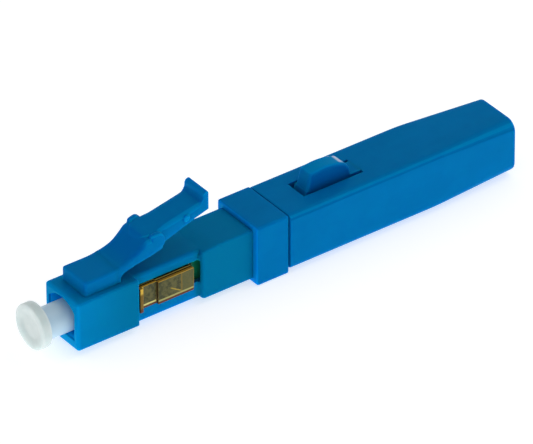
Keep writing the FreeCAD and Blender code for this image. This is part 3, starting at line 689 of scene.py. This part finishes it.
# The rear block's top starts level with the bay and rises to its full height.
rear_rings = []
for x, inset in (
        (bay_end - 0.28, 0.52), (bay_end - 0.13, 0.47), (bay_end - 0.03, 0.38), (bay_end + 0.02, 0.28),
        (bay_end + 0.06, 0.17), (bay_end + 0.11, 0.08), (bay_end + 0.18, 0.03), (bay_end + 0.28, 0),
        (13.4, 0), (14.2, 0), (rear_end - 0.06, 0), (rear_end - 0.02, 0.02), (rear_end, 0.06)):
    share = min(1.0, max(0.0, (x - bay_end - rise_start) / rise_run))
    rise = plug_half + (rear_rise - plug_half) * share
    rear_rings.append(ring(x, rear_half - inset, inset / 3 - rear_rise, rise - inset, rear_edge))
nose = block(
    nose_front, bay_start, nose_half, nose_floor, plug_half + nose_raise, plug_edge, front_edge,
    nose_back_edge)
shell = carve(nose, [
    ("UNION", lofted([
        ring(x, bay_half, bay_floor, plug_half, bay_edge, bay_low_edge) for x in bay_reach])),
    ("UNION", lofted(rear_rings)),
    ("UNION", lofted(root_rings)),
    ("DIFFERENCE", lofted(mouth_rings)),
    ("DIFFERENCE", turned([
        (bulkhead_start, 0), (bulkhead_start, flange_bore), (bulkhead_end, flange_bore), (bulkhead_end, 0),
    ], 64)),
    ("DIFFERENCE", block(cavity_start, cavity_end, cavity_half, -cavity_rise, cavity_rise, cavity_edge)),
    ("DIFFERENCE", block(socket_start, socket_end, socket_half, -cavity_rise, cavity_rise, cavity_edge)),
    ("DIFFERENCE", lofted([
        window_outline(-window_depth, window_end), window_outline(-window_bed, window_back)])),
])


def window_rim(edge):
    """True for the edges of the window in the bay's face."""
    start = (bay_start + 0.05) * mm
    return all(abs(vert.co.y + bay_half * mm) < 1e-6 and vert.co.x > start for vert in edge.verts)


soften(shell, 0.04, 2, window_rim)
housing = solid("plug_shell", shell, 32)
dress(housing, pale_blue)
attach(housing, "plug")
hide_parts("plug_housing")

# Latch: the spring arm with its two lugs and thumb lip, moulded in one with the housing.
# It leaves its root on a rising curve, and bends there when it is pressed.
low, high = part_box("latch_lever")
latch_tip, lip_top, slit_top = high.x / mm, high.z / mm + 0.06, low.z / mm
arm_half, arm_slope, arm_mark, arm_height, arm_edge = 1.38, math.radians(11.6), 8.0, 5.48, 0.5
lug_rear, lug_inner, lug_half, shoulder_top = 8.93, 1.3, 1.9, 5.3
arm_low, heel, heel_low, tip_low = 4.08, 12.45, 5.26, 5.64
lip_thick, lip_curve, lip_brow, lip_edge, bend_end = 0.52, 0.4, 0.38, 0.1, 7.2
lap, lap_sink, lap_rise, edge_gain, edge_run = 1.2, 0.03, 0.042, 0.2, 1.2
flare_start, flare_run, flare_gain, shoulder_soft, foot_edge = 6.2, 1.5, 0.15, 0.15, 0.12
slit_rise, slit_slope, slit_run = 0.31, 0.265, 0.5
lug_front, lug_run, lug_taper, lug_low, lug_slope, lug_edge = 7.72, 0.7, 0.1, 4.0, 0.4, 0.2
arm_proud, arm_soft, thin_edge, edge_start, edge_slope, lip_side = 0.06, 0.12, 0.1, 8.2, 0.3, 0.08
skin_grain, skin_rounds, skin_crease, curve_steps = 0.05, 8, 75, 9


def fused(forms, grain, rounds):
    """One soft skin over meshes that overlap, with facets of so many mm, eased by so many rounds."""
    whole = bmesh.new()
    for form in forms:
        whole.from_mesh(mesh_of("form", form))
    bmesh.ops.scale(whole, vec=(1 / mm, 1 / mm, 1 / mm), verts=whole.verts)
    piece = placed("form", mesh_of("form", whole))
    skin = piece.modifiers.new("skin", "REMESH")
    skin.mode = "VOXEL"
    skin.voxel_size = grain
    ease = piece.modifiers.new("ease", "SMOOTH")
    ease.factor = 0.5
    ease.iterations = rounds
    settle(piece)
    whole = bmesh.new()
    whole.from_mesh(piece.data)
    bpy.data.objects.remove(piece)
    bmesh.ops.scale(whole, vec=(mm, mm, mm), verts=whole.verts)
    return whole


def sloped(x):
    """Height of the arm's top on its slope."""
    return arm_height + math.tan(arm_slope) * (x - arm_mark)


def lower_of(first, second, soft):
    """The lower of two heights, with a round change from one to the other."""
    return (first + second - math.sqrt((first - second) ** 2 + soft ** 2)) / 2


def underside(x):
    """Height of the ramp's underside, which leaves the slit on a curve."""
    along = max(0.0, x - split)
    return slit_top + slit_rise + slit_slope * along - slit_rise * max(0.0, 1 - along / slit_run) ** 2


def across(top, foot, half, crown_edge):
    """Points round the arm between a top and a foot in the XZ plane."""
    length = math.dist(top, foot)
    side = []
    for depth, radius, start in ((0, crown_edge, 90), (length, foot_edge, 0)):
        middle = depth + radius if start else depth - radius
        for y, z in arc(0, 0, radius, start, start - 90):
            side.append((half - radius + y, middle - z))
    points = []
    for y, depth in side + [(-y, depth) for y, depth in reversed(side)]:
        share = depth / length
        points.append((top[0] + (foot[0] - top[0]) * share, y, top[1] + (foot[1] - top[1]) * share))
    return points


# The ramp laps a little way over the root, so that no groove shows between them.
ramp_rings = []
for step in range(33):
    x = split - lap + (lug_rear - split + lap - 0.1) * step / 32
    proud = lap_rise * (x - split + lap) / lap - lap_sink if x < split else 0.0
    edge = latch_edge + edge_gain * min(1.0, max(0.0, x - split) / edge_run)
    half = root_half + flare_gain * min(1.0, max(0.0, (x - flare_start) / flare_run))
    roof = lower_of(ramp(x), shoulder_top, shoulder_soft)
    ramp_rings.append(ring(x, half + proud, underside(x), roof + proud, edge, foot_edge))
# Each lug stands a little higher than the arm, with a blunt front and a rear end that falls away on a curve.
lugs = []
for side in (-1, 1):
    lug_rings = []
    for x, roof, inset in (
            (lug_front, 5.42, 0.08), (7.76, 5.5, 0.03), (7.87, 5.56, 0.0), (8.2, 5.62, 0.0), (8.5, 5.64, 0.0),
            (8.72, 5.55, 0.0), (8.88, 5.4, 0.02), (9.0, 5.15, 0.06), (9.07, 4.9, 0.14)):
        reach = (lug_half - lug_taper * max(0.0, 1 - (x - lug_front) / lug_run) - lug_inner) / 2
        points = ring(
            x, reach - inset, lug_low + lug_slope * (x - arm_mark) + inset, roof, lug_edge - inset * 0.6,
            foot_edge - inset * 0.5)
        lug_rings.append([(x, side * (lug_inner + reach) + y, z) for x, y, z in points])
    lugs.append(lofted(lug_rings))
# The arm grows out of the ramp between the lugs, and widens until it is past them.
arm_rings = []
for x, half in (
        (7.0, 0.5), (7.25, 0.85), (7.42, 1.0), (7.59, 1.13), (7.85, 1.22), (8.18, 1.3), (8.5, 1.35),
        (8.9, arm_half), (9.5, arm_half), (10.4, arm_half), (11.4, arm_half), (heel, arm_half)):
    under = arm_low + (heel_low - arm_low) * (x - lug_rear) / (heel - lug_rear)
    edge = min(arm_edge, thin_edge + edge_slope * max(0.0, x - edge_start))
    roof = lower_of(sloped(x), ramp(x) + arm_proud, arm_soft)
    arm_rings.append(across((x, roof), (x, under), half, edge))
lip = latch_tip - lip_thick
curve_x, curve_z = lip - lip_curve, sloped(lip - lip_curve) + lip_curve / math.cos(arm_slope)
crown = arc(curve_x, curve_z, lip_curve, math.degrees(arm_slope) - 90, 0, curve_steps)
crown += arc(lip + lip_brow, lip_top - lip_brow, lip_brow, 180, 90, 6)
crown += arc(latch_tip - lip_edge, lip_top - lip_edge, lip_edge, 90, 0, 4)
for index, top in enumerate(crown):
    share = (index + 1) / len(crown)
    foot = heel + (latch_tip - heel) * share, heel_low + (tip_low - heel_low) * share
    edge = max(lip_side, arm_edge * (1 - index / curve_steps))
    arm_rings.append(across(top, foot, arm_half, edge))
pip_x, pip_radius, pip_reach, pip_drop = 11.5, 0.3, arm_half + 0.16, 0.5
pip = turned([(-pip_reach, 0), (-pip_reach, pip_radius), (0, pip_radius), (0, 0)], 40)
bmesh.ops.transform(
    pip, matrix=Matrix.Translation(Vector((pip_x, 0, sloped(pip_x) - pip_drop)) * mm)
    @ Matrix.Rotation(math.pi / 2, 4, "Z"), verts=pip.verts)
# Its ramp and the front of its lip lie in shade, and its window-side edge and pip catch the light.
latch_blue = blue_plastic("blue_latch", [
    (paint(0, 93, 168), [("facing X", -0.15, -0.5), ("Z", 7.1, 6.5)]),
    (paint(0, 124, 182), [
        ("facing Z", 0.1, 0.4), ("facing Z", 0.98, 0.87), ("facing Y", -0.12, -0.35), ("X", 6.8, 7.6)]),
    (paint(0, 122, 180), [("X", 10.5, 11.0), ("Y", -1.4, -1.5)]),
])
skin = fused([lofted(ramp_rings), *lugs, lofted(arm_rings), pip], skin_grain, skin_rounds)
latch = solid("latch_arm", skin, skin_crease)
dress(latch, latch_blue)
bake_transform(latch)
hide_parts("latch_lever")

# Rear body: a blue moulding with a spigot that snaps into the housing, a square collar and a trough.
# The trough's teeth grip the jacket of the cable when the sleeve closes over it.
low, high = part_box("rear_body")
push_band, side_push, top_push = 0.2 * mm, 0.05 * mm, 0.08 * mm
bm = moulding("rear_body", 0.05)
# The collar is a little larger round than the CAD has it.
for vert in bm.verts:
    if abs(vert.co.y) > high.y - push_band:
        vert.co.y += math.copysign(side_push, vert.co.y)
    if vert.co.z > high.z - push_band:
        vert.co.z += top_push
    elif vert.co.z < low.z + push_band:
        vert.co.z -= top_push
# Its faces toward the nose are painted lighter, a painted light.
collar_blue = blue_plastic("blue_collar", [(paint(0, 124, 202), [("facing X", -0.5, -0.9)])])
rear = solid("rear_trough", bm)
dress(rear, collar_blue)
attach(rear, "plug")
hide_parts("rear_body")

# Dust cap: a soft milky polythene moulding with a dished finger disc and a stem.
# The stem is pushed over the ferrule and grips it.
milky = surfaced(
    "milky_polythene", moulded, depth=2e-6, Roughness=0.4, Clouds=700.0,
    Colour=paint(205, 215, 214), Deep=paint(194, 206, 206), finish={
        "IOR": 1.5, "Subsurface_Weight": 0.85, "Subsurface_Scale": 0.0009,
        "Subsurface_Radius": (0.9, 1.0, 1.0)})
low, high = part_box("dust_cap")
front, end = low.x / mm, high.x / mm
disc_radius = high.y / mm
disc_rise = high.z / mm - disc_radius
disc_back, rim, back_rim, dish, dish_flat, dish_depth = front + 0.9, 0.15, 0.15 * 0.8, 1.7, 0.9, 0.2
stem_front, stem_radius, bore_radius, bore_end, lead = front + 0.4, 1.4, 0.665, tip - 0.12, 0.08
# The stem is painted darker and bluish: painted shade and blue light from the mouth, as they show through the
# thin stem.
tint(milky, [(paint(183, 209, 225), [("X", disc_back - 0.05, disc_back + 0.25)])])
dish_points = [(front + dish_depth, 0), (front + dish_depth, dish_flat)]
for step in range(1, 9):
    share = step / 8
    ease = share * share * (3 - 2 * share)
    dish_points.append((front + dish_depth * (1 - ease), dish_flat + (dish - dish_flat) * share))
disc = turned(
    dish_points
    + arc(front + rim, disc_radius - rim, rim, 180, 90)
    + arc(disc_back - back_rim, disc_radius - back_rim, back_rim, 90, 0)
    + [(disc_back, 0)], round_sides, disc_rise)
stem = turned(
    [(stem_front, 0), (stem_front, stem_radius), (disc_back, stem_radius)]
    + arc(end - lead, stem_radius - lead, lead, 90, 0, 3)
    + [(end, bore_radius + lead), (end - lead, bore_radius), (bore_end, bore_radius), (bore_end, 0)],
    round_sides)
cap = solid("cap_moulding", carve(disc, [("UNION", stem)]))
dress(cap, milky)
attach(cap, "cap")
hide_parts("dust_cap")

# Tail sleeve: a blue moulded tube, straight in front and tapering to the cable port behind.
# It slides over the trough, and a slot in its roof leaves the press tab free on three sides.
low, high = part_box("tail_sleeve")
front, end = low.x / mm, high.x / mm - 0.12
slot_start, slot_end, slot_half = 23.67, 29.80, 1.15
taper_length, taper_blend, tail_wall = 9.6, 2.2, 1.2
straight = (high.y / mm, low.z / mm, high.z / mm, 0.55)
tail = (2.58, -2.54, 2.58, 1.0)
bore_half, bore_floor, bore_roof, bore_stop = 2.30, -1.86, 2.07, 38.47
port_half, port_rise, port_relief = 1.6, 1.05, 0.1
corner_steps, taper_steps = 9, 24


def sleeve_ring(x):
    """Points round the sleeve's outside at one place, with a column at each side of the slot."""
    along = max(0.0, x - (end - taper_length))
    run = taper_length - taper_blend / 2
    share = along ** 2 / (2 * taper_blend * run) if along < taper_blend else (along - taper_blend / 2) / run
    half, floor, roof, radius = [a + share * (b - a) for a, b in zip(straight, tail)]
    points = ring(x, half, floor, roof, radius, steps=corner_steps)
    after_corner = 2 * (corner_steps + 1)
    points[after_corner:after_corner] = [(x, slot_half, roof), (x, -slot_half, roof)]
    return [bm.verts.new((x * mm, y * mm, z * mm)) for x, y, z in points]


def bore_ring(x, half, floor, roof):
    """Points round the sleeve's inside at one place."""
    points = [
        (-half, floor), (half, floor), (half, roof), (slot_half, roof), (-slot_half, roof), (-half, roof)]
    return [bm.verts.new((x * mm, y * mm, z * mm)) for y, z in points]


def skin_between(rings):
    """Quads between neighbouring rings, without the ones in the slot."""
    for here, there in zip(rings, rings[1:]):
        for index, vert in enumerate(here):
            after = (index + 1) % len(here)
            level = {round(abs(v.co.y) / mm, 4) for v in (vert, here[after])}
            slot = level == {slot_half} and abs(vert.co.x - slot_start * mm) < 1e-9
            if not (slot and vert.co.z > 0):
                bm.faces.new((vert, here[after], there[after], there[index]))


bm = bmesh.new()
stations = [front, slot_start, slot_end]
stations += [end - taper_length + taper_length * step / taper_steps for step in range(taper_steps + 1)]
outside = [sleeve_ring(x) for x in stations]
inside = [bore_ring(x, bore_half, bore_floor, bore_roof) for x in (front, slot_start, slot_end, bore_stop)]
relief = port_half + port_relief, -port_rise - port_relief, port_rise + port_relief
inside += [bore_ring(x, *relief) for x in (bore_stop, end - tail_wall)]
inside += [bore_ring(x, port_half, -port_rise, port_rise) for x in (end - tail_wall, end)]
skin_between(outside)
skin_between(inside)
for mouth, lining in ((outside[0], inside[0]), (outside[-1], inside[-1])):
    edges = []
    for loop in (mouth, lining):
        edges += [bm.edges.get((loop[index - 1], loop[index])) for index in range(len(loop))]
    bmesh.ops.triangle_fill(bm, edges=edges, use_beauty=True)
first = next(
    index for index, vert in enumerate(outside[1])
    if abs(vert.co.y - slot_half * mm) < 1e-9 and vert.co.z > 0)
rim_corners = [outside[1][first], outside[1][first + 1], outside[2][first + 1], outside[2][first]]
lining_corners = [inside[1][3], inside[1][4], inside[2][4], inside[2][3]]
for index in range(4):
    before = index - 1
    bm.faces.new((rim_corners[before], rim_corners[index], lining_corners[index], lining_corners[before]))
bmesh.ops.recalc_face_normals(bm, faces=bm.faces)


def sleeve_rim(edge):
    """True for the edges of the sleeve's ends."""
    return any(all(abs(vert.co.x - x * mm) < 1e-9 for vert in edge.verts) for x in (front, end))


def slot_rim(edge):
    """True for the edges of the slot, apart from the one that the tab grows from."""
    side = (slot_half + 0.01) * mm
    roof = all(vert.co.z > bore_roof * mm + 1e-6 and abs(vert.co.y) < side for vert in edge.verts)
    return roof and any(vert.co.x < slot_end * mm - 1e-6 for vert in edge.verts)


soften(bm, 0.12, 3, sleeve_rim)
soften(bm, 0.06, 2, slot_rim)
# The long edges have a painted highlight, with a painted dark reflection below it.
sleeve_blue = blue_plastic("blue_sleeve", [
    (paint(0, 122, 180), [("facing Z", 0.48, 0.6), ("facing Z", 0.88, 0.76)]),
    (paint(0, 94, 156), [("facing Z", 0.16, 0.25), ("facing Z", 0.44, 0.35)]),
])
sleeve = solid("sleeve_shell", bm)
dress(sleeve, sleeve_blue)
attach(sleeve, "sleeve")
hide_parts("tail_sleeve")

# Press tab: a tongue of the sleeve's roof with a crowned thumb pad, moulded in one with the sleeve.
# It bends at its rear end when it is pressed, so its mesh is cut into short lengths there.
tab_root, tab_bend, tab_cuts = slot_end * mm, 28.7 * mm, 6
tab_front, front_gap, pad_height, pad_lean, pad_foot, pad_lift = 24.0, 0.02, 1.42, 0.65, 0.4, 0.1
sleeve_top = straight[2]


def off_root(edge):
    """True for an edge that isn't on the seam between the tab and the sleeve's roof."""
    return any(vert.co.x < tab_root - 1e-6 for vert in edge.verts)


# The pad's top and the crest behind it have painted highlights, and its window side has painted shade.
raised = ("Z", sleeve_top + 0.1, sleeve_top + 0.3)
tab_blue = blue_plastic("blue_tab", [
    (paint(0, 120, 180), [raised, ("facing Z", 0.6, 0.9)]),
    (paint(0, 82, 152), [("facing Y", -0.7, -0.95)]),
    (paint(176, 188, 214), [
        raised, ("facing X", 0.28, 0.38), ("facing X", 0.6, 0.5), ("Y", -0.7, -0.4)]),
])


def slice_off(bm, point, normal, clear=False):
    """Cut a mesh along a plane, and clear what lies beyond it if asked."""
    bmesh.ops.bisect_plane(
        bm, geom=bm.verts[:] + bm.edges[:] + bm.faces[:], plane_co=point, plane_no=normal, dist=1e-7,
        clear_outer=clear)


bm = moulding("release_button", 0.05, 2, off_root)
# The tongue ends at the foot of the pad's leaning front, so that the slot is open there.
slice_off(
    bm, Vector((tab_front - front_gap, 0, bore_roof)) * mm,
    (-(sleeve_top + pad_height - bore_roof), 0, pad_lean), clear=True)
bmesh.ops.holes_fill(bm, edges=[edge for edge in bm.edges if edge.is_boundary])
for vert in bm.verts:
    if vert.co.z > (sleeve_top + pad_foot) * mm:
        vert.co.z += pad_lift * mm
for cut in range(1, tab_cuts + 1):
    slice_off(bm, (tab_root + (tab_bend - tab_root) * cut / tab_cuts, 0, 0), (1, 0, 0))
tab = solid("press_tab_pad", bm)
dress(tab, tab_blue)
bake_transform(tab)
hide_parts("release_button")

# Floor: a plain white sheet on a softly glowing table, that the collar rests on.
# Most of its white is its own glow and the rest is paper, which keeps a faint shadow.
sheet_half, floor_drop = 1.5, 0.1 * mm
bm = bmesh.new()
bmesh.ops.create_grid(bm, x_segments=1, y_segments=1, size=sheet_half)
for vert in bm.verts:
    vert.co.z = cad_box[0].z - floor_drop
floor = placed("floor_sheet", mesh_of("floor_sheet", bm))


def shown(tree):
    """A mask for the rays that see the room itself: the camera's, in a gloss and through clear plastic."""
    seen = node(tree, "LightPath")
    indirect = maths(tree, "MAXIMUM", seen.outputs["Is Glossy Ray"], seen.outputs["Is Transmission Ray"])
    return maths(tree, "MAXIMUM", indirect, seen.outputs["Is Camera Ray"])


white = bpy.data.materials.new("white_sheet")
white.use_nodes = True
tree = white.node_tree
tree.nodes.clear()
level = node(tree, "MapRange", To_Min=1.05, To_Max=0.57)
paper = node(tree, "BsdfDiffuse", Color=(0.74, 0.74, 0.74, 1))
glow = node(tree, "Emission", Color=(1, 1, 1, 1))
both = node(tree, "AddShader")
out = node(tree, "OutputMaterial")
tree.links.new(shown(tree), level.inputs["Value"])
wire(tree, [
    (level, "Result", glow, "Strength"), (paper, "BSDF", both, 0), (glow, "Emission", both, 1),
    (both, "Shader", out, "Surface")])
floor.data.materials.append(white)

# Light: a white room with a soft box above the tail, a little to the window side.
# The camera sees the room as plain white.
world = bpy.data.worlds.new("white_room")
bpy.context.scene.world = world
world.use_nodes = True
tree = world.node_tree
tree.nodes.clear()
place = node(tree, "TexCoord")
height = node(tree, "SeparateXYZ")
fade = node(tree, "MapRange", From_Min=0.0, From_Max=0.9, To_Min=0.75, To_Max=0.5)
room = node(tree, "Background", Color=(1, 1, 1, 1))
backdrop = node(tree, "Background", Color=(1, 1, 1, 1), Strength=1.0)
mix = node(tree, "MixShader")
out = node(tree, "OutputWorld")
tree.links.new(shown(tree), mix.inputs["Fac"])
wire(tree, [
    (place, "Generated", height, "Vector"), (height, "Z", fade, "Value"), (fade, "Result", room, "Strength"),
    (room, "Background", mix, 1), (backdrop, "Background", mix, 2), (mix, "Shader", out, "Surface")])


def toward(azimuth, elevation):
    """The direction from the part to a place round it. Azimuth 0 is the window side, 90 degrees the tail."""
    level = math.cos(elevation)
    return Vector((math.sin(azimuth) * level, -math.cos(azimuth) * level, math.sin(elevation)))


lamp = bpy.data.lights.new("soft_box", "AREA")
lamp.shape = "SQUARE"
lamp.size = 0.22
lamp.energy = 0.18
lamp_distance, part_middle = 0.35, Vector((20 * mm, 0, 0))
box = placed("soft_box", lamp)
back = toward(math.radians(75), math.radians(60))
box.location = part_middle + back * lamp_distance
box.rotation_euler = back.to_track_quat("Z", "Y").to_euler()
box.visible_camera = False

# Camera: a long lens at the photograph's angle.
# Its place and focal length were fitted to the picture, with the plug's square nose at its standard size.
azimuth, elevation, roll = math.radians(-36.291), math.radians(34.131), math.radians(-0.319)
target = Vector((20.644 * mm, 0, 0.848 * mm))
reach, focal_pixels, image_width = 657.923 * mm, 7955.2, 533
back = toward(azimuth, elevation)
level = Vector((math.cos(azimuth), math.sin(azimuth), 0))
upright = back.cross(level)
right = math.cos(roll) * level + math.sin(roll) * upright
up = -math.sin(roll) * level + math.cos(roll) * upright
lens = bpy.data.cameras.new("long_lens")
lens.sensor_width = 36
lens.lens = focal_pixels / image_width * lens.sensor_width
camera = placed("camera", lens)
turn = Matrix((right, up, back)).transposed().to_4x4()
camera.matrix_world = Matrix.Translation(target + back * reach) @ turn
bpy.context.scene.camera = camera
bpy.context.scene.view_settings.view_transform = "Standard"
